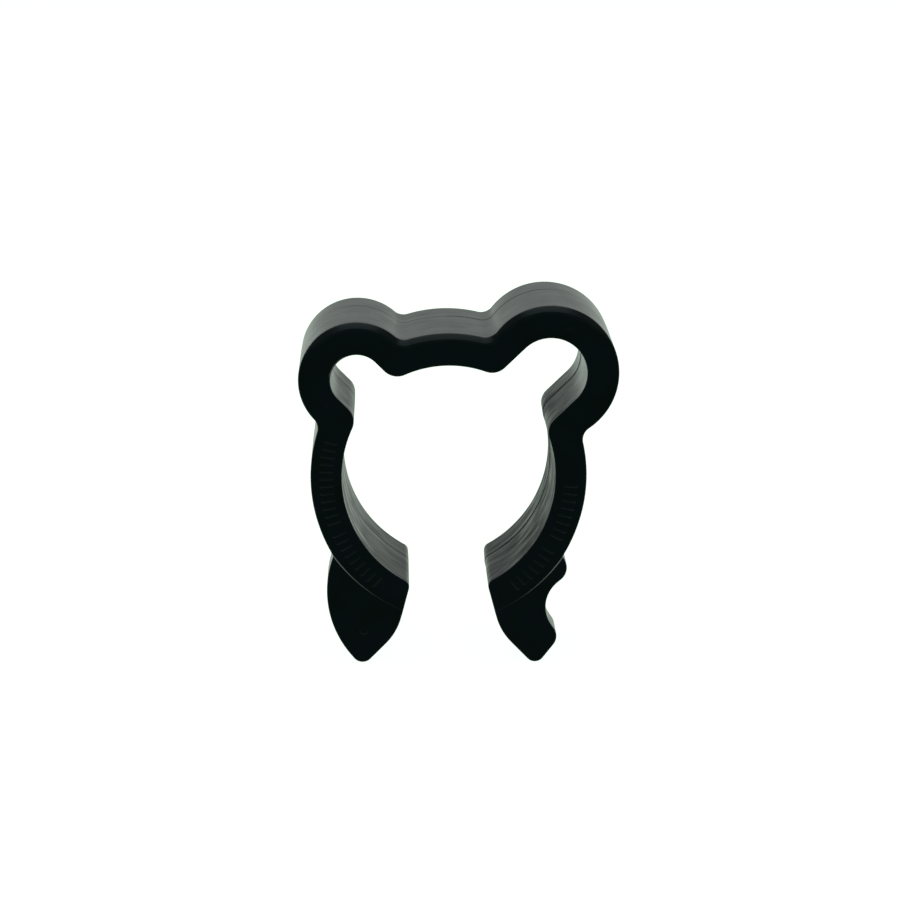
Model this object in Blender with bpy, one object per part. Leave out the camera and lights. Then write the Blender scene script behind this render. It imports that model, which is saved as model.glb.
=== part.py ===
"""Push-fit pipe clip of a fence insulator.

The clip grips a 42.4 mm pipe that runs along Y. X is to the right, Z is up, and the marked front face
looks towards -Y. The origin is on the pipe's axis, half way through the depth of the clip.

The whole clip is one outline, carried through its depth: an arched crown over the pipe, a loop at each
shoulder that works as a spring, and two curved jaws that close round the pipe and leave a throat below
it. A thin toe under each jaw leads the pipe in, and the toe under the large loop has a cable notch.
Each part of the outline is a solid of its own, with a loop between each jaw and the crown.

An outline is a list of circles (x, z, radius) in millimetres, walked counter-clockwise round the
material, and each arc runs into the next along their common tangent. A positive radius bulges out of
the material, a negative one is a hollow, and zero is a sharp corner. Both sides of the clip are drawn
on the right, and the side with the small loop is then mirrored.
"""
import math

import bmesh
import bpy
from mathutils import Vector

MM = 0.001

# the band that goes round the pipe
PIPE_RADIUS = 21.2
WALL = 6.3
DEPTH = 25.0
JAW_INSIDE = (-3.5, -1.6, 24.7)
JAW_OUTSIDE = (-4.5, -1.6, 31.9)

# the spring loops: the direction and distance of the centre of their eye, and its radius
LARGE_LOOP = {"angle": 44.1, "reach": 27.9, "eye": 7.2}
SMALL_LOOP = {"angle": 45.3, "reach": 25.7, "eye": 5.2}
MOUTH_RADIUS = 3.6
SHOULDER_RADIUS = 2.8
PIVOT_SHARE = 0.42

# the tip of a jaw, and the toes below it
TIP = (9.6, -24.45, 1.65)
SHIN = (21.4, -27.8, 12.2)
PLAIN_POINT = (17.4, -38.0, 2.2)
PLAIN_BACK = (3.0, -25.2, 21.45)
PLAIN_ROOT = (22.6, -16.2, 0.0)
NOTCHED_POINT = (17.4, -38.4, 2.0)
LOWER_LIP = (18.85, -35.0, 2.9)
NOTCH = (26.3, -28.7, -6.8)
UPPER_LIP = (20.2, -20.7, 3.3)
NOTCHED_ROOT = (21.5, -16.5, 0.0)
TOE_THICKNESS = 7.5
TOE_PROUD = 0.3

# the edges of the outline, the gaps between the solids, and how finely an arc is cut
FRONT_ROUNDING = 1.3
BACK_ROUNDING = 0.4
FRONT_STEPS = 3
BACK_STEPS = 1
GAP = 0.3
ARC_TOLERANCE = 0.03
BEYOND = 80.0

BLACK_PLASTIC = (0.012, 0.014, 0.014, 1.0)
ROUGHNESS = 0.35


# ---- outlines

def polar(angle, distance):
    """The point at this distance from the origin, and this angle from X, in degrees."""
    turn = math.radians(angle)
    return distance * Vector((math.cos(turn), math.sin(turn)))


def left_of(direction):
    return Vector((-direction.y, direction.x))


def crossing(centre_a, reach_a, centre_b, reach_b):
    """The point at reach_a from one centre and reach_b from the other, left of the way from a to b."""
    way = centre_b - centre_a
    along = (way.length_squared + reach_a ** 2 - reach_b ** 2) / (2 * way.length)
    aside = math.sqrt(reach_a ** 2 - along ** 2)
    ahead = way.normalized()
    return centre_a + along * ahead + aside * left_of(ahead)


def tangent(circle_a, circle_b):
    """Where the walk leaves circle a, and where it comes to circle b."""
    centre_a = Vector(circle_a[:2])
    centre_b = Vector(circle_b[:2])
    way = centre_b - centre_a
    aside = circle_b[2] - circle_a[2]
    ahead = math.sqrt(max(way.length_squared - aside ** 2, 0.0))
    heading = math.atan2(way.y, way.x) - math.atan2(aside, ahead)
    left = Vector((-math.sin(heading), math.cos(heading)))
    return centre_a - circle_a[2] * left, centre_b - circle_b[2] * left


def arc_points(circle, start, end):
    """Points on a circle from start to end, turning the way that its radius says."""
    centre = Vector(circle[:2])
    radius = abs(circle[2])
    if radius == 0.0:
        return [centre]
    first = math.atan2(start.y - centre.y, start.x - centre.x)
    last = math.atan2(end.y - centre.y, end.x - centre.x)
    whole_turn = math.copysign(2 * math.pi, circle[2])
    sweep = (last - first) % whole_turn
    if abs(whole_turn - sweep) < 0.001:
        sweep = 0.0
    facet = 2 * math.acos(1 - ARC_TOLERANCE / radius)
    steps = max(1, math.ceil(abs(sweep) / facet))
    turns = [first + sweep * n / steps for n in range(steps + 1)]
    return [centre + radius * Vector((math.cos(turn), math.sin(turn))) for turn in turns]


def walk(circles):
    """The closed outline round a list of circles."""
    points = []
    for n, circle in enumerate(circles):
        following = circles[(n + 1) % len(circles)]
        start = tangent(circles[n - 1], circle)[1]
        end = tangent(circle, following)[0]
        for point in arc_points(circle, start, end):
            if not points or (point - points[-1]).length > 0.01:
                points.append(point)
    if (points[0] - points[-1]).length < 0.01:
        points.pop()
    return points


def hollow(circle):
    return (circle[0], circle[1], -circle[2])


def mirrored(circles):
    """The same circles across X = 0, in the order that keeps the walk counter-clockwise."""
    return [(-x, z, radius) for x, z, radius in reversed(circles)]


def end_corner():
    """Where the end face of a jaw meets its outer arc."""
    top, foot = tangent(TIP, SHIN)
    down = (foot - top).normalized()
    centre = Vector(JAW_OUTSIDE[:2])
    nearest = top + (centre - top).dot(down) * down
    aside = (nearest - centre).length
    return nearest + math.sqrt(JAW_OUTSIDE[2] ** 2 - aside ** 2) * down


def outer_side(loop):
    """Circles up the outside of one side, from the end of its jaw to the crown."""
    eye = polar(loop["angle"], loop["reach"])
    loop_radius = loop["eye"] + WALL
    to_loop = loop_radius + SHOULDER_RADIUS
    to_jaw = JAW_OUTSIDE[2] + SHOULDER_RADIUS
    to_crown = PIPE_RADIUS + WALL + SHOULDER_RADIUS
    low_shoulder = crossing(eye, to_loop, Vector(JAW_OUTSIDE[:2]), to_jaw)
    high_shoulder = crossing(Vector((0.0, 0.0)), to_crown, eye, to_loop)
    return [
        (*end_corner(), 0.0),
        JAW_OUTSIDE,
        (*low_shoulder, -SHOULDER_RADIUS),
        (*eye, loop_radius),
        (*high_shoulder, -SHOULDER_RADIUS),
    ]


def mouth_corner(loop, side, inside):
    """The rounded corner between the straight side of an eye's mouth and the inside that it opens from."""
    ahead = polar(loop["angle"], 1.0)
    base = side * (loop["eye"] + MOUTH_RADIUS) * left_of(ahead)
    from_arc = base - Vector(inside[:2])
    lean = from_arc.dot(ahead)
    spare = (inside[2] + MOUTH_RADIUS) ** 2 - from_arc.length_squared
    corner = base + (math.sqrt(lean ** 2 + spare) - lean) * ahead
    return (*corner, MOUTH_RADIUS)


def inner_side(loop):
    """Circles down the inside of one side, from the crown to the tip of its jaw."""
    eye = polar(loop["angle"], loop["reach"])
    return [
        mouth_corner(loop, 1, (0.0, 0.0, PIPE_RADIUS)),
        (*eye, -loop["eye"]),
        mouth_corner(loop, -1, JAW_INSIDE),
        hollow(JAW_INSIDE),
        TIP,
    ]


def band_circles():
    """The whole band: crown, loops and jaws."""
    crown_outside = (0.0, 0.0, PIPE_RADIUS + WALL)
    crown_inside = (0.0, 0.0, -PIPE_RADIUS)
    outside = outer_side(LARGE_LOOP) + [crown_outside] + mirrored(outer_side(SMALL_LOOP))
    inside = mirrored(inner_side(SMALL_LOOP)) + [crown_inside] + inner_side(LARGE_LOOP)
    return outside + inside


def notched_toe_circles():
    return [TIP, SHIN, NOTCHED_POINT, LOWER_LIP, NOTCH, UPPER_LIP, NOTCHED_ROOT]


def plain_toe_circles():
    return mirrored([TIP, SHIN, PLAIN_POINT, PLAIN_BACK, PLAIN_ROOT])


def wedge(start, end):
    """The corner between two directions from the origin, in degrees, half a gap inside each of them."""
    middle = (start + end) / 2
    half = math.radians(end - start) / 2
    apex = polar(middle, GAP / 2 / math.sin(half))
    return [apex, apex + polar(start, BEYOND), apex + polar(middle, BEYOND), apex + polar(end, BEYOND)]


def jaw_disc(side):
    """The round that a toe's upper edge fits against: the outer arc of its jaw, and a gap."""
    circle = (side * JAW_OUTSIDE[0], JAW_OUTSIDE[1], JAW_OUTSIDE[2] + GAP)
    start = Vector((circle[0] + circle[2], circle[1]))
    almost = Vector((circle[0] + circle[2], circle[1] - 0.1))
    return arc_points(circle, start, almost)


# ---- solids

def inset(outline, distance):
    """The outline moved into the material by a distance."""
    moved = []
    for n, point in enumerate(outline):
        before = (point - outline[n - 1]).normalized()
        after = (outline[(n + 1) % len(outline)] - point).normalized()
        inward = left_of(before) + left_of(after)
        moved.append(point + distance * inward / (1 + before.dot(after)))
    return moved


def rounding(radius, steps):
    """How far in and how far back each ring of a rounded edge lies, from the face to the side."""
    turns = [math.pi / 2 * n / steps for n in range(steps + 1)]
    return [(radius * (1 - math.sin(turn)), radius * (1 - math.cos(turn))) for turn in turns]


def prism(name, outline, front, back, front_rounding=0.0, back_rounding=0.0):
    """A closed solid of this outline from front to back along Y, with rounded edges."""
    rings = [(0.0, front)]
    if front_rounding:
        rings = [(inward, front + depth) for inward, depth in rounding(front_rounding, FRONT_STEPS)]
    if back_rounding:
        edge = [(inward, back - depth) for inward, depth in rounding(back_rounding, BACK_STEPS)]
        rings += reversed(edge)
    else:
        rings.append((0.0, back))
    mesh = bpy.data.meshes.new(name)
    shape = bmesh.new()
    loops = []
    for inward, y in rings:
        loops.append([shape.verts.new((p.x * MM, y * MM, p.y * MM)) for p in inset(outline, inward)])
    for ring, following in zip(loops, loops[1:]):
        for n in range(len(ring)):
            shape.faces.new((ring[n - 1], ring[n], following[n], following[n - 1]))
    shape.faces.new(loops[0])
    shape.faces.new(reversed(loops[-1]))
    bmesh.ops.recalc_face_normals(shape, faces=shape.faces)
    shape.to_mesh(mesh)
    shape.free()
    made = bpy.data.objects.new(name, mesh)
    bpy.context.collection.objects.link(made)
    return made


def cutter(name, outline):
    """A guide solid that runs past both faces of the clip, and isn't part of it."""
    made = prism(name, outline, -DEPTH, DEPTH)
    made.hide_render = True
    made.display_type = "WIRE"
    return made


def cut(piece, tool, operation):
    change = piece.modifiers.new(tool.name, "BOOLEAN")
    change.operation = operation
    change.solver = "EXACT"
    change.object = tool


def plastic(name):
    material = bpy.data.materials.new(name)
    material.use_nodes = True
    shader = material.node_tree.nodes["Principled BSDF"]
    shader.inputs["Base Color"].default_value = BLACK_PLASTIC
    shader.inputs["Roughness"].default_value = ROUGHNESS
    shader.inputs["Metallic"].default_value = 0.0
    material.diffuse_color = BLACK_PLASTIC
    return material


def finish(piece, pivot=None):
    """Gives a piece its material and smooth arcs, and hangs a moving piece on its pivot."""
    piece.data.materials.append(plastic(piece.name))
    piece.data.shade_smooth()
    piece.data.set_sharp_from_angle(angle=math.radians(35))
    if pivot:
        piece.parent = pivot
        piece.matrix_parent_inverse = pivot.matrix_basis.inverted()


def band_piece(name, start, end, pivot=None):
    """The part of the band between two directions from the pipe's axis."""
    outline = walk(band_circles())
    half = DEPTH / 2
    piece = prism(name, outline, -half, half, FRONT_ROUNDING, BACK_ROUNDING)
    cut(piece, cutter(name + "_guide", wedge(start, end)), "INTERSECT")
    finish(piece, pivot)


def toe(name, circles, side, pivot):
    """A thin plate under a jaw, a little proud of its front face."""
    front = -DEPTH / 2 - TOE_PROUD
    back = -DEPTH / 2 + TOE_THICKNESS
    piece = prism(name, walk(circles), front, back, FRONT_ROUNDING, BACK_ROUNDING)
    cut(piece, cutter(name + "_guide", jaw_disc(side)), "DIFFERENCE")
    finish(piece, pivot)


def pivot_of(name, loop, side):
    """The point that a jaw turns about, where its loop gives: just beyond the centre of the eye."""
    bend = loop["eye"] + WALL / 2
    place = polar(loop["angle"], loop["reach"] + PIVOT_SHARE * bend)
    pivot = bpy.data.objects.new(name, None)
    pivot.empty_display_size = 5 * MM
    pivot.location = (side * place.x * MM, 0.0, place.y * MM)
    bpy.context.collection.objects.link(pivot)
    return pivot


def shoulder_directions(loop):
    """Where a loop starts and ends: the directions of its two shoulders from the pipe's axis."""
    circles = outer_side(loop)
    low = math.degrees(math.atan2(circles[2][1], circles[2][0]))
    high = math.degrees(math.atan2(circles[4][1], circles[4][0]))
    return low, high


def build():
    large_low, large_high = shoulder_directions(LARGE_LOOP)
    low, high = shoulder_directions(SMALL_LOOP)
    small_high = 180 - high
    small_low = 180 - low
    large_pivot = pivot_of("large_side_pivot", LARGE_LOOP, 1)
    small_pivot = pivot_of("small_side_pivot", SMALL_LOOP, -1)
    band_piece("crown_bridge", large_high, small_high)
    band_piece("large_loop", large_low, large_high)
    band_piece("small_loop", small_high, small_low)
    band_piece("notched_jaw", -90, large_low, large_pivot)
    band_piece("plain_jaw", small_low, 270, small_pivot)
    toe("notched_toe", notched_toe_circles(), 1, large_pivot)
    toe("plain_toe", plain_toe_circles(), -1, small_pivot)


for leftover in list(bpy.data.objects):
    bpy.data.objects.remove(leftover, do_unlink=True)
build()
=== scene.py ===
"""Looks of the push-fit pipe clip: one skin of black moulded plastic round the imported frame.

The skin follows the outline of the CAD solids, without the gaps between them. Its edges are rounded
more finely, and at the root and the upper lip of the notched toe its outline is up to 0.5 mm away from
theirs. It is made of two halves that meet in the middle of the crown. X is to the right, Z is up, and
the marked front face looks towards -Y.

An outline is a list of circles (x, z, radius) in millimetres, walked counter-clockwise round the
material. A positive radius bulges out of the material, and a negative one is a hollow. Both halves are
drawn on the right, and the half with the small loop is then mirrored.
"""
import math

import bmesh
import bpy
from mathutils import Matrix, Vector


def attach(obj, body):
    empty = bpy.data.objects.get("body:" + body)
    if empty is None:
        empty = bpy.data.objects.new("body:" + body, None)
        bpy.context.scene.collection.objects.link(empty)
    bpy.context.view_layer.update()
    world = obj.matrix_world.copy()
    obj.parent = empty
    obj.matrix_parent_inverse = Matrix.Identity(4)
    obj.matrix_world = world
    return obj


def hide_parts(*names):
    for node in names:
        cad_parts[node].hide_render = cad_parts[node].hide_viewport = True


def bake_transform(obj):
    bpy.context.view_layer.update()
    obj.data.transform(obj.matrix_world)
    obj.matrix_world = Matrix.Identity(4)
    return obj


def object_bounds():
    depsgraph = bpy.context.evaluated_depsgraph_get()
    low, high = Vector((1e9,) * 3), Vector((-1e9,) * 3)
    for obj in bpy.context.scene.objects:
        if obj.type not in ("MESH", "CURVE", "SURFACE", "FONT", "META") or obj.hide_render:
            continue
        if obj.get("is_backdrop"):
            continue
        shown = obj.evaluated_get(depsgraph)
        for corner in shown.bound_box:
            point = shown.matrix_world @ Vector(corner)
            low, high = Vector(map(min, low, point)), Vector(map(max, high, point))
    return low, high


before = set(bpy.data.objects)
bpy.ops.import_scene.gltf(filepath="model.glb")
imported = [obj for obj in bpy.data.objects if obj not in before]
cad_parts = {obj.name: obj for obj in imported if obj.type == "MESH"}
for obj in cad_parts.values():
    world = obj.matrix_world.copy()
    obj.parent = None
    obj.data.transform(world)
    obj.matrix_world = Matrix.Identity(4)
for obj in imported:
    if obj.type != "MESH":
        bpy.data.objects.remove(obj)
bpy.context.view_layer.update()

MM = 0.001

# ---- sizes, in millimetres ----------------------------------------------------------------------

PIPE_RADIUS = 21.2
WALL = 6.3
FRONT = -12.5
BACK = 12.5
JAW_INSIDE = (-3.5, -1.6, 24.7)
JAW_OUTSIDE = (-4.5, -1.6, 31.9)
MOUTH_RADIUS = 3.6
SHOULDER_RADIUS = 2.8
TIP = (9.6, -24.45, 1.65)
SHIN = (21.4, -27.8, 12.2)

# The two sides. "angle" and "reach" place the eye's centre, in degrees and mm from the pipe's axis,
# and "eye" is its radius. "toe" is the outline of the toe after the shin, and "ledge" is the edge where
# the toe's face stands proud of the jaw's. "flash" and "seam" are how far the mould's parting line
# stands out on the inner and the outer walls. "rubbed" is how much the pipe has rubbed the inner wall,
# and "bars" are the directions between which the raised bars run, in degrees about the pipe's axis.
NOTCHED = {
    "name": "notched",
    "side": 1,
    "body": "notched_side",
    "nodes": ("large_loop", "notched_jaw", "notched_toe", "crown_bridge"),
    "angle": 44.1,
    "reach": 27.9,
    "eye": 7.2,
    "toe": [
        (17.4, -38.4, 2.0),
        (18.85, -35.0, 2.9),
        (26.3, -28.7, -6.8),
        (20.38, -20.48, 3.3),
        (22.0, -16.5, 0.0),
    ],
    "ledge": (-3.91, -0.56, 31.93),
    "flash": 0.09,
    "seam": 0.022,
    "rubbed": 0.9,
    "bars": [(-8.0, -33.0), (-40.0, -61.0)],
}
PLAIN = {
    "name": "plain",
    "side": -1,
    "body": "plain_side",
    "nodes": ("small_loop", "plain_jaw", "plain_toe", "crown_bridge"),
    "angle": 45.3,
    "reach": 25.7,
    "eye": 5.2,
    "toe": [
        (17.4, -38.0, 2.2),
        (3.0, -25.2, 21.45),
        (22.6, -16.2, 0.0),
    ],
    "ledge": (-4.6, 1.17, 33.35),
    "flash": 0.02,
    "seam": 0.012,
    "rubbed": 0.5,
    "bars": [(14.0, -25.0), (-31.0, -58.0)],
}

# front edges
EDGE = 1.55              # the size of the soft chamfer along the top
FACET_LEAN = 48.0        # the chamfer's lean off the face, in degrees
FACET_FLAT = 0.75        # the flat in the middle of a full chamfer, as a share of its size
FACET_NEAR_FACE = 0.5    # how much of the rounding next to the face a full chamfer takes away
FACET_NEAR_WALL = 0.65   # the same next to the wall
UPWARD = (0.40, 0.82)    # how far up the wall faces where the chamfer starts and where it is full
INNER_EDGE = 0.38        # the rounding down the sides, on the inside and round the toes
NO_FACET = 0.03          # the share of a chamfer that such a rounding has
LEDGE_EDGE = 0.1         # the rounding where the toe's face runs on from the jaw's
LEDGE_EDGE_UP_TO = (-17.5, -11.0)   # the heights where it starts to grow and where it has grown
FACE_RIM = 0.06          # a narrow flat strip beside every rounding, so that the flats shade as flat
EDGE_STEPS = 5

# back edges
BACK_EDGE = 0.45
FOOT_EDGE = 0.12         # the same at the sharp foot of each jaw
FOOT_REACH = 3.0         # how far from the foot the rounding has grown to its full size
BACK_EDGE_STEPS = 4

# the toes and their ledges
PROUD_INSIDE = 0.04      # how far the toe stands proud of the jaw at the tip
PROUD_SLOPE = 0.020      # how much more for each millimetre further out
TOE_BACK = -5.0
TOE_ANCHOR = (1.8, 0.01)    # where the toe goes into the band: up the jaw's end face, and into the jaw
TOE_BURIED = (3.0, 2.5)     # where its outline turns inside the band
TOE_STARTS_BELOW = 0.3      # below the anchor, the toe's own outline starts
TOE_ROOT_BEYOND = 18.0      # and beyond this x it is whole
LEDGE_SLANT = 0.5        # how far the ledge leans back for each millimetre that it stands proud
LEDGE_TOP = 1.2          # how far in front of the face the cut that makes the ledge starts
GROOVE_FLOOR = 0.5       # how deep the toe's root is cut behind the jaw's front face
LEDGE_STEPS = 300

# the mould's parting line
PART_Y = 4.2
DRAFT = 0.05             # how much the walls swell up to it
PART_BEFORE = 0.3        # how far in front of the line the wall is level
FLASH_RISE = 0.04        # how far behind PART_Y the raised line is at its full height
FLASH_END = 0.34         # and how far behind it the line starts to fall away
SEAM_FAINT = 0.3         # the line's share of its height at the widest part of the outer walls
SEAM_FADES = (27.0, 16.0)   # the distances to the side where it is faint and where it is full

# how fine the shapes are
STEP = 0.45              # the longest piece of an outline
FEWEST_STEPS = 3
TIP_STEPS = 8
LEVEL = 0.06             # the short level facet in the middle of the crown
TOUCHING = 0.1           # arcs that end closer than this touch, and need no line between them
MERGED = 0.002           # corners closer than this are made one
SKIN_CREASE = 32.0       # degrees between two faces that shade as a crease

# raised marks
MARK_ROOT = -0.1         # a round mark starts this far behind the face
MARK_HEIGHT = 0.16
MARK_CORNERS = 48
MARK_CREASE = 40.0
BAR_CORNERS = 20
BAR_WIDTH = 0.75
BAR_LENGTH = 2.8
BAR_SPACING = 3.4        # degrees about the pipe's axis
BAR_CREASE = 50.0
# the section of a bar from its rim inwards, as (how far in, how far proud as a share of the height)
BAR_SECTION = [(0.0, -0.1), (0.0, 0.0), (0.10, 0.45), (0.20, 0.80), (0.31, 1.0)]
JAW_MIDDLE = (-4.0, -1.6, 28.3)   # the middle line of a jaw, which the bars follow
GATE_PLACE = (23.5, 29.4)
GATE_STEPS = [(1.15, 0.0), (1.05, 0.05), (0.9, 0.07), (0.75, 0.02), (0.4, 0.01)]
DOT_PLACE = (-17.2, -33.4)
DOT_FRONT = FRONT - 0.18
DOT_STEPS = [(0.85, 0.0), (0.75, 0.09), (0.55, 0.13), (0.3, 0.14)]

# the painted highlight on the ledge's rim, and the wear where the pipe rubs
HIGHLIGHT_FACES_IN = 0.3         # only faces turned this much towards the ledge's centre get the painted highlight
HIGHLIGHT_BAND = (-0.1, 0.6)     # how far outside the ledge's circle they may lie
HIGHLIGHT_DEPTH = 0.05           # and how far behind the front face
HIGHLIGHT_LEAST = 0.10
HIGHLIGHT_GROWS = (12.0, 25.0)   # the distances to the side where it is least and full
PIPE_SIDE = 0.1              # a wall that faces outwards by more than this isn't rubbed by the pipe
WALL_FACES_Y = 0.5           # a face that faces along Y by more than this isn't a wall
RUB_TOP = (18.0, 8.0)        # the heights where the rubbing starts and is full, going down
RUB_FOOT = (-31.0, -17.0)    # and the same, going up

# the plastic
BLACK_LOW = (0.0002, 0.0010, 0.0006, 1.0)
BLACK_HIGH = (0.0008, 0.0014, 0.0022, 1.0)
# painted highlight: the light grey base colour of the ledge's slanting rim, brightest at its outer end
PAINTED_HIGHLIGHT_GREY = (0.096, 0.110, 0.102, 1.0)
SPECULAR = 0.21
HEAD_ON = (0.07, 0.12, 0.125, 1.0)
ROUGHNESS = 0.30
PATCHY_ROUGHNESS = 0.03
DRAWN_ROUGHNESS = 0.04
RUBBED_ROUGHNESS = (0.04, 0.40)
NOISE_RANGE = (0.3, 0.7)     # where nearly all of a noise's values lie
# the noises, as (scale, stretch along each axis, detail)
DRAWN_NOISE = (60.0, (1.0, 45.0, 1.0), 3.0)
PATCH_NOISE = (180.0, (1.0, 1.0, 1.0), 4.0)
GRAIN_NOISE = (2600.0, (1.0, 1.0, 1.0), 2.0)
STREAK_NOISE = (170.0, (1.0, 4.0, 1.0), 2.5)
# the bumps, as (depth in mm, strength)
WAVE_BUMP = (0.10, 0.5)
DRAWN_BUMP = (0.03, 0.25)
GRAIN_BUMP = (0.01, 0.2)

# the studio, in metres and degrees
CAMERA_ELEVATION = 15.5
CAMERA_AZIMUTH = 1.43
CAMERA_TARGET = (0.264, -11.432, 3.874)   # in millimetres
CAMERA_DISTANCE = 0.49644
CAMERA_LENS = 100.28
SENSOR_WIDTH = 36.0
FLOOR_REACH = 12.0
FLOOR_COLOUR = (0.03, 0.03, 0.03, 1.0)
FLOOR_GLOW = (0.87, 1.0, 0.89, 1.0)
FLOOR_GLOW_STRENGTH = 1.12
TENT_COLOUR = (0.93, 1.0, 0.96, 1.0)
TENT_STRENGTH = 0.76


# ---- outlines -----------------------------------------------------------------------------------

def polar(angle, distance):
    """The point in this direction, in degrees, and at this distance."""
    turn = math.radians(angle)
    return distance * Vector((math.cos(turn), math.sin(turn)))


def left_of(direction):
    """The same direction turned a quarter to the left."""
    return Vector((-direction.y, direction.x))


def crossing(centre_a, reach_a, centre_b, reach_b):
    """The point at reach_a from one centre and reach_b from the other, left of the way from a to b."""
    way = centre_b - centre_a
    along = (way.length_squared + reach_a ** 2 - reach_b ** 2) / (2 * way.length)
    aside = math.sqrt(reach_a ** 2 - along ** 2)
    return centre_a + along * way.normalized() + aside * left_of(way.normalized())


def tangent(circle_a, circle_b):
    """Where the walk leaves circle a, and where it comes to circle b."""
    centre_a = Vector(circle_a[:2])
    centre_b = Vector(circle_b[:2])
    way = centre_b - centre_a
    aside = circle_b[2] - circle_a[2]
    ahead = math.sqrt(max(way.length_squared - aside ** 2, 0.0))
    heading = math.atan2(way.y, way.x) - math.atan2(aside, ahead)
    left = Vector((-math.sin(heading), math.cos(heading)))
    return centre_a - circle_a[2] * left, centre_b - circle_b[2] * left


def sweep(circle, start, end):
    """The angle where an arc starts, and how far it turns, in the way that its radius says."""
    centre = Vector(circle[:2])
    first = math.atan2(start.y - centre.y, start.x - centre.x)
    last = math.atan2(end.y - centre.y, end.x - centre.x)
    return first, (last - first) % math.copysign(2 * math.pi, circle[2])


def length(circle, start, end):
    """The length of one piece of an outline: an arc, or a straight line if it has no circle."""
    if circle is None:
        return (end - start).length
    return abs(circle[2] * sweep(circle, start, end)[1])


def part_way(circle, start, end, share):
    """The point at some share of the way along one piece of an outline."""
    if circle is None:
        return start.lerp(end, share)
    first, turn = sweep(circle, start, end)
    angle = first + turn * share
    return Vector(circle[:2]) + abs(circle[2]) * Vector((math.cos(angle), math.sin(angle)))


def spread(pieces, steps):
    """Evenly spaced points along a row of pieces, each given as (circle, start, end)."""
    lengths = [length(*piece) for piece in pieces]
    points = []
    for n in range(steps + 1):
        ahead = sum(lengths) * n / steps
        k = 0
        while k < len(pieces) - 1 and ahead > lengths[k]:
            ahead -= lengths[k]
            k += 1
        points.append(part_way(*pieces[k], ahead / lengths[k]))
    return points


def steps_for(*rows):
    """How many steps the longest of some rows of pieces needs."""
    longest = max(sum(length(*piece) for piece in row) for row in rows)
    return max(FEWEST_STEPS, math.ceil(longest / STEP))


def walk(circles):
    """The closed outline round a list of circles."""
    points = []
    for n, circle in enumerate(circles):
        start = tangent(circles[n - 1], circle)[1]
        end = tangent(circle, circles[(n + 1) % len(circles)])[0]
        if circle[2] == 0.0:
            points.append(Vector(circle[:2]))
        else:
            row = [(circle, start, end)]
            points += spread(row, steps_for(row))
    return points


def mouth_corner(eye_radius, angle, side, inside):
    """The rounded corner between one side of an eye's mouth and the inside that it opens from."""
    ahead = polar(angle, 1.0)
    base = side * (eye_radius + MOUTH_RADIUS) * left_of(ahead)
    from_arc = base - Vector(inside[:2])
    lean = from_arc.dot(ahead)
    spare = (inside[2] + MOUTH_RADIUS) ** 2 - from_arc.length_squared
    centre = base + (math.sqrt(lean ** 2 + spare) - lean) * ahead
    return (*centre, MOUTH_RADIUS)


def end_corner():
    """Where the end face of a jaw meets its outer arc."""
    top, foot = tangent(TIP, SHIN)
    down = (foot - top).normalized()
    centre = Vector(JAW_OUTSIDE[:2])
    nearest = top + (centre - top).dot(down) * down
    aside = (nearest - centre).length
    return nearest + math.sqrt(JAW_OUTSIDE[2] ** 2 - aside ** 2) * down


def arcs_between(first_point, circles, last_point):
    """The pieces from one point to another, round circles that touch or are joined by lines."""
    pieces = []
    start = first_point
    for circle, following in zip(circles, circles[1:]):
        leave, arrive = tangent(circle, following)
        pieces.append((circle, start, leave))
        if (arrive - leave).length > TOUCHING:
            pieces.append((None, leave, arrive))
        start = arrive
    pieces.append((circles[-1], start, last_point))
    return pieces


def band_outline(clip):
    """One side of the band, as the points up its outside and the points up its inside, which pair up.

    The first pair is at the tip of the jaw and the last is in the middle of the crown. The third list
    goes on round the tip.
    """
    eye = polar(clip["angle"], clip["reach"])
    loop = clip["eye"] + WALL
    jaw = Vector(JAW_OUTSIDE[:2])
    crown = Vector((0.0, 0.0))
    low = crossing(eye, loop + SHOULDER_RADIUS, jaw, JAW_OUTSIDE[2] + SHOULDER_RADIUS)
    high = crossing(crown, PIPE_RADIUS + WALL + SHOULDER_RADIUS, eye, loop + SHOULDER_RADIUS)
    outer = arcs_between(
        end_corner(),
        [
            JAW_OUTSIDE,
            (*low, -SHOULDER_RADIUS),
            (*eye, loop),
            (*high, -SHOULDER_RADIUS),
            (*crown, PIPE_RADIUS + WALL),
        ],
        Vector((0.0, PIPE_RADIUS + WALL)),
    )
    hollow = (JAW_INSIDE[0], JAW_INSIDE[1], -JAW_INSIDE[2])
    inner = arcs_between(
        Vector((0.0, PIPE_RADIUS)),
        [
            (*crown, -PIPE_RADIUS),
            mouth_corner(clip["eye"], clip["angle"], 1, (*crown, PIPE_RADIUS)),
            (*eye, -clip["eye"]),
            mouth_corner(clip["eye"], clip["angle"], -1, JAW_INSIDE),
            hollow,
        ],
        tangent(hollow, TIP)[0],
    )
    # jaw, shoulder, loop with the straight sides of its mouth, shoulder, crown
    facing = [inner[6:], inner[5:6], inner[2:5], inner[1:2], inner[:1]]
    outside = []
    inside = []
    for piece, row in zip(outer, facing):
        steps = steps_for([piece], row)
        outside += spread([piece], steps)[:-1]
        inside += spread(row, steps)[:0:-1]
    # a short level facet in the middle of the crown, so that both halves shade alike there
    outside.append(Vector((LEVEL, PIPE_RADIUS + WALL)))
    inside.append(Vector((LEVEL, PIPE_RADIUS)))
    outside.append(Vector((0.0, PIPE_RADIUS + WALL)))
    inside.append(Vector((0.0, PIPE_RADIUS)))
    tip = (TIP, tangent(hollow, TIP)[1], tangent(TIP, SHIN)[0])
    return outside, inside, spread([tip], TIP_STEPS)[1:]


# ---- solids -------------------------------------------------------------------------------------

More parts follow.
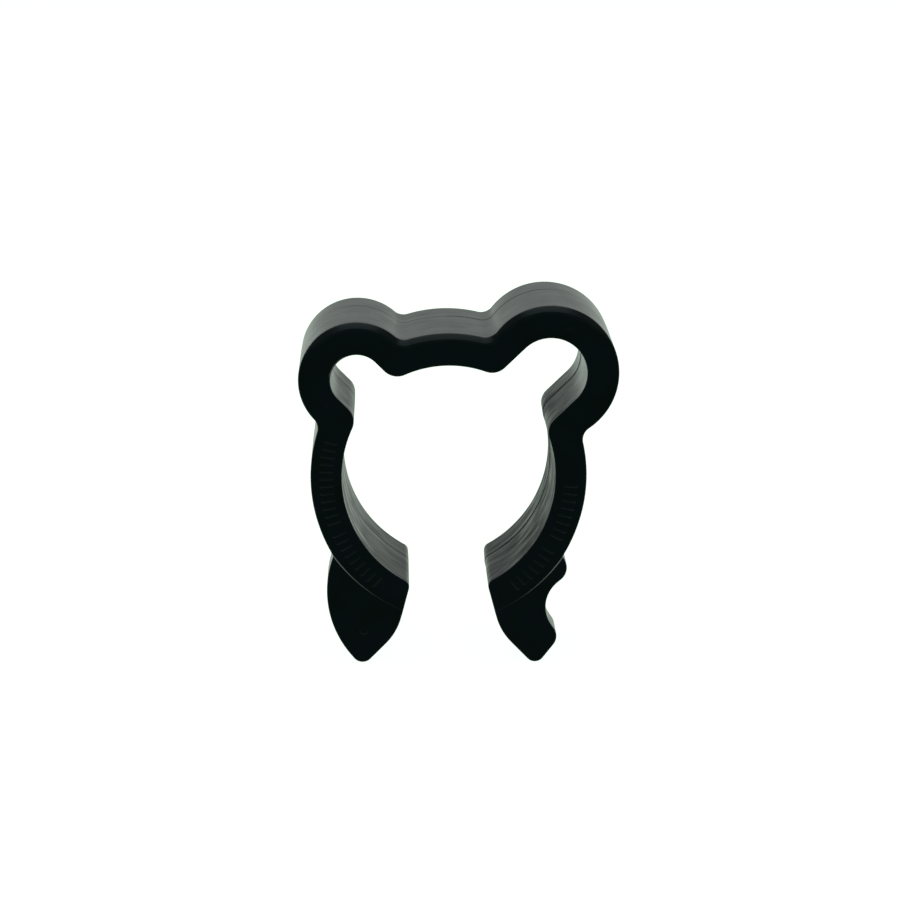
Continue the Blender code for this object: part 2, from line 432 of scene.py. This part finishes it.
def inward(outline, seam=()):
    """The way into the material at each point of an outline, long enough to move its edges by one.

    Points in seam lie on the cut between the halves, and move along it.
    """
    ways = []
    for n, point in enumerate(outline):
        following = outline[(n + 1) % len(outline)]
        before = (point - outline[n - 1]).normalized()
        after = (following - point).normalized()
        if (n, "after") in seam:
            ways.append(left_of(before))
        elif (n, "before") in seam:
            ways.append(left_of(after))
        else:
            ways.append((left_of(before) + left_of(after)) / (1 + before.dot(after)))
    return ways


def front_section(size, facet):
    """The section of a front edge, from the face out to the wall, as (how far in, how far back).

    It is a quarter circle where facet is 0. Where facet is 1 it has a flat in the middle.
    """
    near_face = size * (1 - FACET_NEAR_FACE * facet)
    near_wall = size * (1 - FACET_NEAR_WALL * facet)
    flat = FACET_FLAT * size * facet
    lean = math.radians(FACET_LEAN)
    points = []
    for n in range(EDGE_STEPS + 1):
        turn = lean * n / EDGE_STEPS
        points.append((near_face * math.sin(turn), near_face * (1 - math.cos(turn))))
    out, deep = points[-1]
    out += flat * math.cos(lean)
    deep += flat * math.sin(lean)
    for n in range(EDGE_STEPS + 1):
        turn = lean + (math.pi / 2 - lean) * n / EDGE_STEPS
        points.append((
            out + near_wall * (math.sin(turn) - math.sin(lean)),
            deep + near_wall * (math.cos(lean) - math.cos(turn)),
        ))
    widest = points[-1][0]
    return [(widest - across, back) for across, back in points]


def profile(section, back_edge, front, back, flash=None):
    """The rings from the front face to the back, as (how far in, y), for one point of the outline.

    Where flash is given, the wall has that much of a thin raised line along the mould's parting line.
    """
    rings = [(section[0][0] + FACE_RIM, front)]
    rings += [(inset, front + deep) for inset, deep in section]
    rings.append((0.0, front + section[-1][1] + FACE_RIM))
    if flash is not None:
        rings.append((-DRAFT, PART_Y - PART_BEFORE))
        rings.append((-DRAFT, PART_Y))
        rings.append((-DRAFT - flash, PART_Y + FLASH_RISE))
        rings.append((-DRAFT - flash, PART_Y + FLASH_END))
    rings.append((0.0, back - back_edge - FACE_RIM))
    for n in range(BACK_EDGE_STEPS + 1):
        turn = math.pi / 2 * (1 - n / BACK_EDGE_STEPS)
        rings.append((back_edge * (1 - math.sin(turn)), back - back_edge * (1 - math.cos(turn))))
    rings.append((back_edge + FACE_RIM, back))
    return rings


def walls(shape, rings):
    """The walls between neighbouring rings of corners."""
    for ring, following in zip(rings, rings[1:]):
        for n in range(len(ring)):
            shape.faces.new((ring[n - 1], ring[n], following[n], following[n - 1]))


def corner(shape, side, x, y, z):
    """A new corner at a place in millimetres, on the side that is asked for."""
    return shape.verts.new((side * x * MM, y * MM, z * MM))


def skin(shape, side, outline, ways, rings_at):
    """The side walls of a solid: one ring of corners for each step of the profile."""
    rings = []
    for k in range(len(rings_at[0])):
        ring = []
        for point, way, steps in zip(outline, ways, rings_at):
            inset, y = steps[k]
            place = point + inset * way
            ring.append(corner(shape, side, place.x, y, place.y))
        rings.append(ring)
    walls(shape, rings)
    return rings


def new_object(name, shape):
    """Makes an object of a finished shape, with all its faces turned outwards."""
    bmesh.ops.recalc_face_normals(shape, faces=shape.faces)
    mesh = bpy.data.meshes.new(name)
    shape.to_mesh(mesh)
    shape.free()
    made = bpy.data.objects.new(name, mesh)
    bpy.context.scene.collection.objects.link(made)
    return made


def smoothstep(value, low, high):
    """Rises smoothly from 0 at low to 1 at high; low may be the larger of the two."""
    share = min(max((value - low) / (high - low), 0.0), 1.0)
    return share * share * (3 - 2 * share)


def band_half(clip):
    """One side of the band, from the middle of the crown to the tip of its jaw."""
    outside, inside, tip = band_outline(clip)
    outline = outside + inside[::-1] + tip
    count = len(outside)
    ways = inward(outline, {(count - 1, "after"), (count, "before")})
    # the top is chamfered, and the edge fades out at the foot, where the toe's face runs on
    sections = []
    flashes = []
    for point, way in zip(outside, ways):
        chamfered = smoothstep(-way.normalized().y, *UPWARD)
        size = INNER_EDGE + (EDGE - INNER_EDGE) * chamfered
        size = LEDGE_EDGE + (size - LEDGE_EDGE) * smoothstep(point.y, *LEDGE_EDGE_UP_TO)
        sections.append(front_section(size, max(chamfered, NO_FACET)))
        strength = SEAM_FAINT + (1 - SEAM_FAINT) * smoothstep(point.x, *SEAM_FADES)
        flashes.append(clip["seam"] * strength)
    sections += [front_section(INNER_EDGE, NO_FACET)] * (len(outline) - count)
    flashes += [flashes[-1]] + [clip["flash"]] * (len(outline) - count - 1)
    rings_at = []
    for point, section, flash in zip(outline, sections, flashes):
        from_foot = (point - outline[0]).length
        back_edge = FOOT_EDGE + (BACK_EDGE - FOOT_EDGE) * smoothstep(from_foot, 0.0, FOOT_REACH)
        rings_at.append(profile(section, back_edge, FRONT, BACK, flash))
    shape = bmesh.new()
    rings = skin(shape, clip["side"], outline, ways, rings_at)
    last = 2 * count - 1
    for ring in (rings[0], rings[-1]):
        for n in range(count - 1):
            shape.faces.new((ring[n], ring[n + 1], ring[last - 1 - n], ring[last - n]))
        shape.faces.new([ring[0]] + ring[last:])
    return new_object(clip["name"] + "_band", shape)


def toe(clip):
    """The plate under a jaw. It reaches into the band, and its face stands proud of the jaw's."""
    end = end_corner()
    top, foot = tangent(TIP, SHIN)
    up = (top - foot).normalized()
    away = -left_of(up)
    anchor = end + TOE_ANCHOR[0] * up + TOE_ANCHOR[1] * away
    buried = end + TOE_BURIED[0] * up + TOE_BURIED[1] * away
    # the tip's own arc gives way to two corners inside the band
    outline = [buried, anchor]
    for point in walk([TIP, SHIN] + clip["toe"]):
        if (point - anchor).dot(up) < -TOE_STARTS_BELOW or point.x > TOE_ROOT_BEYOND:
            outline.append(point)
    shape = bmesh.new()
    section = front_section(INNER_EDGE, NO_FACET)
    rings_at = [profile(section, BACK_EDGE, FRONT - PROUD_INSIDE, TOE_BACK)] * len(outline)
    rings = skin(shape, clip["side"], outline, inward(outline), rings_at)
    shape.faces.new(rings[0])
    shape.faces.new(rings[-1])
    for place in shape.verts:
        if place.co.y < (TOE_BACK + FRONT) / 2 * MM:
            place.co.y -= PROUD_SLOPE * max(abs(place.co.x) - TIP[0] * MM, 0.0)
    plate = new_object(clip["name"] + "_toe", shape)
    combine(plate, ledge_cutter(clip), "DIFFERENCE")
    return plate


def ledge_cutter(clip):
    """What is taken off the toe above its ledge: a shallow bowl with a slanting rim."""
    x, z, radius = clip["ledge"]
    shape = bmesh.new()
    rings = []
    rim = (LEDGE_TOP * LEDGE_SLANT, FRONT - LEDGE_TOP)
    for grow, y in (rim, (0.0, FRONT), (0.0, FRONT + GROOVE_FLOOR)):
        ring = []
        for n in range(LEDGE_STEPS):
            place = Vector((x, z)) + polar(360.0 * n / LEDGE_STEPS, radius + grow)
            ring.append(corner(shape, clip["side"], place.x, y, place.y))
        rings.append(ring)
    walls(shape, rings)
    shape.faces.new(rings[0])
    shape.faces.new(rings[-1])
    return new_object("ledge_cutter", shape)


def combine(piece, other, operation):
    """Joins another solid to a piece or takes it away, and removes the other."""
    change = piece.modifiers.new(operation, "BOOLEAN")
    change.operation = operation
    change.solver = "EXACT"
    change.object = other
    bpy.context.view_layer.update()
    evaluated = piece.evaluated_get(bpy.context.evaluated_depsgraph_get())
    mesh = bpy.data.meshes.new_from_object(evaluated)
    piece.modifiers.clear()
    old = piece.data
    piece.data = mesh
    mesh.name = piece.name
    bpy.data.meshes.remove(old)
    bpy.data.objects.remove(other)


def smooth(piece, angle):
    """Shades a piece smoothly, apart from creases sharper than this many degrees."""
    piece.data.shade_smooth()
    piece.data.set_sharp_from_angle(angle=math.radians(angle))


def highlight_and_wear(piece, clip):
    """Paints where the surface is worn and where a highlight is painted, for the material to read.

    Red is a painted highlight along the ledge's slanting rim, strongest at its outer end. Green is the
    wall that the pipe rubs, from the lower side of the eye's mouth down to the tip, where it fades.
    """
    x, z, radius = clip["ledge"]
    layer = piece.data.color_attributes.new("highlight_and_wear", "FLOAT_COLOR", "CORNER")
    for face in piece.data.polygons:
        place = face.center / MM
        away = Vector((abs(place.x) - x, place.z - z))
        inwards = -Vector((clip["side"] * face.normal.x, face.normal.z)).dot(away.normalized())
        # painted highlight: the ledge's slanting rim is painted light grey, more towards its outer end
        painted_highlight = 0.0
        on_rim = HIGHLIGHT_BAND[0] < away.length - radius < HIGHLIGHT_BAND[1] and place.y < FRONT + HIGHLIGHT_DEPTH
        if on_rim and inwards > HIGHLIGHT_FACES_IN:
            painted_highlight = HIGHLIGHT_LEAST + (1 - HIGHLIGHT_LEAST) * smoothstep(abs(place.x), *HIGHLIGHT_GROWS)
        facing_pipe = clip["side"] * face.normal.x < PIPE_SIDE and abs(face.normal.y) < WALL_FACES_Y
        for k, corner_index in zip(face.loop_indices, face.vertices):
            rubbed = 0.0
            if facing_pipe and place.z < RUB_TOP[0]:
                height = piece.data.vertices[corner_index].co.z / MM
                rubbed = clip["rubbed"] * smoothstep(height, *RUB_TOP) * smoothstep(height, *RUB_FOOT)
            layer.data[k].color = (painted_highlight, rubbed, 0.0, 1.0)


def half(clip):
    """One half of the clip as one skin."""
    piece = band_half(clip)
    combine(piece, toe(clip), "UNION")
    piece.name = clip["name"] + "_half"
    tidy = bmesh.new()
    tidy.from_mesh(piece.data)
    bmesh.ops.remove_doubles(tidy, verts=tidy.verts, dist=MERGED * MM)
    bmesh.ops.dissolve_degenerate(tidy, edges=tidy.edges, dist=MERGED * MM)
    tidy.to_mesh(piece.data)
    tidy.free()
    smooth(piece, SKIN_CREASE)
    highlight_and_wear(piece, clip)
    finish_piece(piece)
    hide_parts(*clip["nodes"])
    bend(piece)


def bend(piece):
    """Bakes a piece's placement into its mesh."""
    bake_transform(piece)


# ---- material -----------------------------------------------------------------------------------

def moulded_black():
    """Satin black moulded plastic, with drawn marks round the walls, rubbed places and a painted
    highlight along the ledge's rim.
    """
    material = bpy.data.materials.new("moulded_black")
    material.use_nodes = True
    nodes = material.node_tree.nodes
    links = material.node_tree.links
    shader = nodes["Principled BSDF"]
    shader.inputs["Specular IOR Level"].default_value = SPECULAR
    shader.inputs["Specular Tint"].default_value = HEAD_ON
    place = nodes.new("ShaderNodeTexCoord")

    def noise(scale, stretch, detail, name):
        mapping = nodes.new("ShaderNodeMapping")
        mapping.inputs["Scale"].default_value = stretch
        links.new(place.outputs["Object"], mapping.inputs["Vector"])
        texture = nodes.new("ShaderNodeTexNoise")
        texture.name = name
        texture.inputs["Scale"].default_value = scale
        texture.inputs["Detail"].default_value = detail
        links.new(mapping.outputs["Vector"], texture.inputs["Vector"])
        return texture.outputs["Fac"]

    def remap(value, low, high, name):
        change = nodes.new("ShaderNodeMapRange")
        change.name = name
        change.inputs["From Min"].default_value = NOISE_RANGE[0]
        change.inputs["From Max"].default_value = NOISE_RANGE[1]
        change.inputs["To Min"].default_value = low
        change.inputs["To Max"].default_value = high
        links.new(value, change.inputs["Value"])
        return change.outputs["Result"]

    def blended(share, first, second, name):
        mix = nodes.new("ShaderNodeMix")
        mix.name = name
        mix.data_type = "RGBA"
        links.new(share, mix.inputs["Factor"])
        for socket, colour in (("A", first), ("B", second)):
            if isinstance(colour, tuple):
                mix.inputs[socket].default_value = colour
            else:
                links.new(colour, mix.inputs[socket])
        return mix.outputs["Result"]

    def maths(operation, first, second, name):
        made = nodes.new("ShaderNodeMath")
        made.name = name
        made.operation = operation
        links.new(first, made.inputs[0])
        links.new(second, made.inputs[1])
        return made.outputs["Value"]

    def bump(height, depth, strength, normal, name):
        made = nodes.new("ShaderNodeBump")
        made.name = name
        made.inputs["Strength"].default_value = strength
        made.inputs["Distance"].default_value = depth * MM
        links.new(height, made.inputs["Height"])
        if normal:
            links.new(normal, made.inputs["Normal"])
        return made.outputs["Normal"]

    drawn = noise(*DRAWN_NOISE, "drawn marks round the walls")
    patches = noise(*PATCH_NOISE, "uneven sheen")
    grain = noise(*GRAIN_NOISE, "fine grain")
    streaks = noise(*STREAK_NOISE, "rubbed streaks")
    painted = nodes.new("ShaderNodeVertexColor")
    painted.layer_name = "highlight_and_wear"
    highlight_and_wear_channels = nodes.new("ShaderNodeSeparateColor")
    links.new(painted.outputs["Color"], highlight_and_wear_channels.inputs["Color"])

    black = blended(remap(patches, 0.0, 1.0, "black to black"), BLACK_LOW, BLACK_HIGH, "black")
    # painted highlight: the base colour goes light grey along the ledge's rim
    links.new(blended(highlight_and_wear_channels.outputs["Red"], black, PAINTED_HIGHLIGHT_GREY, "painted_highlight_rim"), shader.inputs["Base Color"])

    least = ROUGHNESS - PATCHY_ROUGHNESS
    most = ROUGHNESS + PATCHY_ROUGHNESS
    patchy = remap(patches, least, most, "patchy roughness")
    lined = remap(drawn, -DRAWN_ROUGHNESS, DRAWN_ROUGHNESS, "drawn roughness")
    rough = maths("ADD", patchy, lined, "roughness")
    rubbing = remap(streaks, *RUBBED_ROUGHNESS, "streaky rubbing")
    rubbed = maths("MULTIPLY", highlight_and_wear_channels.outputs["Green"], rubbing, "rubbed")
    links.new(maths("ADD", rough, rubbed, "rubbed roughness"), shader.inputs["Roughness"])

    waves = maths("MULTIPLY", highlight_and_wear_channels.outputs["Green"], streaks, "waves")
    uneven = bump(waves, *WAVE_BUMP, None, "uneven wall")
    marks = bump(drawn, *DRAWN_BUMP, uneven, "drawn lines")
    links.new(bump(grain, *GRAIN_BUMP, marks, "pores"), shader.inputs["Normal"])
    return material


BLACK = moulded_black()


def finish_piece(piece):
    """Gives a piece the black plastic."""
    piece.data.materials.clear()
    piece.data.materials.append(BLACK)


# ---- raised marks -------------------------------------------------------------------------------

def raised_bar(shape, side, angle):
    """One bar with round ends across the face of a jaw, in this direction from the pipe's axis."""
    mid = jaw_middle(angle)
    out = (mid - Vector(JAW_MIDDLE[:2])).normalized()
    along = left_of(out)
    rings = []
    for inset, proud in BAR_SECTION:
        ring = []
        for n in range(BAR_CORNERS):
            # half of the corners go round each end of the bar
            end = 1 if n < BAR_CORNERS / 2 else -1
            turn = 2 * math.pi * (n + 0.5) / BAR_CORNERS
            a = end * (BAR_LENGTH - BAR_WIDTH) / 2 + (BAR_WIDTH / 2 - inset) * math.sin(turn)
            b = (BAR_WIDTH / 2 - inset) * math.cos(turn)
            place = mid + a * out + b * along
            ring.append(corner(shape, side, place.x, FRONT - MARK_HEIGHT * proud, place.y))
        rings.append(ring)
    walls(shape, rings)
    shape.faces.new(rings[0])
    shape.faces.new(rings[-1])


def raised_bars(clip):
    """The two rows of plain bars on a jaw."""
    shape = bmesh.new()
    for first, last in clip["bars"]:
        for angle in row_of_bars(first, last):
            raised_bar(shape, clip["side"], angle)
    piece = new_object(clip["name"] + "_bars", shape)
    smooth(piece, BAR_CREASE)
    finish_piece(piece)
    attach(piece, clip["body"])


def round_mark(name, x, z, front, steps):
    """A round mark on a face, from its rim inwards, as steps of (radius, how far proud of the face)."""
    shape = bmesh.new()
    rings = []
    for radius, proud in [(steps[0][0], MARK_ROOT)] + steps:
        ring = []
        for n in range(MARK_CORNERS):
            place = Vector((x, z)) + polar(360.0 * n / MARK_CORNERS, radius)
            ring.append(corner(shape, 1, place.x, front - proud, place.y))
        rings.append(ring)
    walls(shape, rings)
    shape.faces.new(rings[0])
    shape.faces.new(rings[-1])
    piece = new_object(name, shape)
    smooth(piece, MARK_CREASE)
    finish_piece(piece)
    return piece


def jaw_middle(angle):
    """The point on the middle line of a jaw in this direction from the pipe's axis, in degrees."""
    ray = polar(angle, 1.0)
    centre = Vector(JAW_MIDDLE[:2])
    along = centre.dot(ray)
    return (along + math.sqrt(along ** 2 - centre.length_squared + JAW_MIDDLE[2] ** 2)) * ray


def row_of_bars(first, last):
    """The directions of evenly spaced bars along a jaw, from one direction down to another."""
    steps = round((first - last) / BAR_SPACING)
    return [first + (last - first) * n / steps for n in range(steps + 1)]


# ---- studio -------------------------------------------------------------------------------------

def camera():
    """The camera looks a little down on the front of the clip."""
    elevation = math.radians(CAMERA_ELEVATION)
    azimuth = math.radians(CAMERA_AZIMUTH)
    ahead = Vector((
        math.sin(azimuth) * math.cos(elevation),
        math.cos(azimuth) * math.cos(elevation),
        -math.sin(elevation),
    ))
    target = Vector(CAMERA_TARGET) * MM
    data = bpy.data.cameras.new("camera")
    data.sensor_width = SENSOR_WIDTH
    data.lens = CAMERA_LENS
    data.clip_start = 0.01
    data.clip_end = 50.0
    made = bpy.data.objects.new("camera", data)
    made.location = target - CAMERA_DISTANCE * ahead
    made.rotation_mode = "QUATERNION"
    made.rotation_quaternion = ahead.to_track_quat("-Z", "Y")
    bpy.context.scene.collection.objects.link(made)
    bpy.context.scene.camera = made


def floor(height):
    """A wide floor that glows, so that it is plain white and the clip throws hardly any shadow on it.

    Its own colour is nearly black, and the white is its glow. The glow is a little green, which only
    shows in the walls that mirror the floor.
    """
    mesh = bpy.data.meshes.new("floor")
    reach = FLOOR_REACH
    corners = [
        (-reach, -reach, height),
        (reach, -reach, height),
        (reach, reach, height),
        (-reach, reach, height),
    ]
    mesh.from_pydata(corners, [], [(0, 1, 2, 3)])
    made = bpy.data.objects.new("floor", mesh)
    bpy.context.scene.collection.objects.link(made)
    material = bpy.data.materials.new("pale_floor")
    material.use_nodes = True
    shader = material.node_tree.nodes["Principled BSDF"]
    shader.inputs["Base Color"].default_value = FLOOR_COLOUR
    shader.inputs["Roughness"].default_value = 0.9
    shader.inputs["Specular IOR Level"].default_value = 0.0
    shader.inputs["Emission Color"].default_value = FLOOR_GLOW
    shader.inputs["Emission Strength"].default_value = FLOOR_GLOW_STRENGTH
    mesh.materials.append(material)
    made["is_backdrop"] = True


def softbox(name, place, width, height, brightness):
    """A flat rectangular light that faces the clip. Its brightness is in times a white surface's."""
    data = bpy.data.lights.new(name, "AREA")
    data.shape = "RECTANGLE"
    data.size = width
    data.size_y = height
    data.energy = brightness * math.pi * width * height
    made = bpy.data.objects.new(name, data)
    made.location = place
    made.rotation_mode = "QUATERNION"
    made.rotation_quaternion = (-Vector(place)).to_track_quat("-Z", "Y")
    bpy.context.scene.collection.objects.link(made)


def surroundings():
    """Even, nearly white light all round, as in a light tent."""
    world = bpy.data.worlds.new("light_tent")
    bpy.context.scene.world = world
    world.use_nodes = True
    background = world.node_tree.nodes["Background"]
    background.inputs["Color"].default_value = TENT_COLOUR
    background.inputs["Strength"].default_value = TENT_STRENGTH


half(NOTCHED)
half(PLAIN)
raised_bars(NOTCHED)
raised_bars(PLAIN)
gate = round_mark("gate_mark", *GATE_PLACE, FRONT, GATE_STEPS)
bend(gate)
dot = round_mark("toe_dot", *DOT_PLACE, DOT_FRONT, DOT_STEPS)
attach(dot, "plain_side")

floor(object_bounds()[0].z)
surroundings()
softbox("overhead", (0.0, 0.1, 0.9), width=0.8, height=0.8, brightness=3.5)
softbox("front_strip", (0.0, -1.40, 0.54), width=3.0, height=0.9, brightness=1.4)
camera()
bpy.context.scene.view_settings.view_transform = "Standard"
bpy.context.scene.view_settings.look = "None"
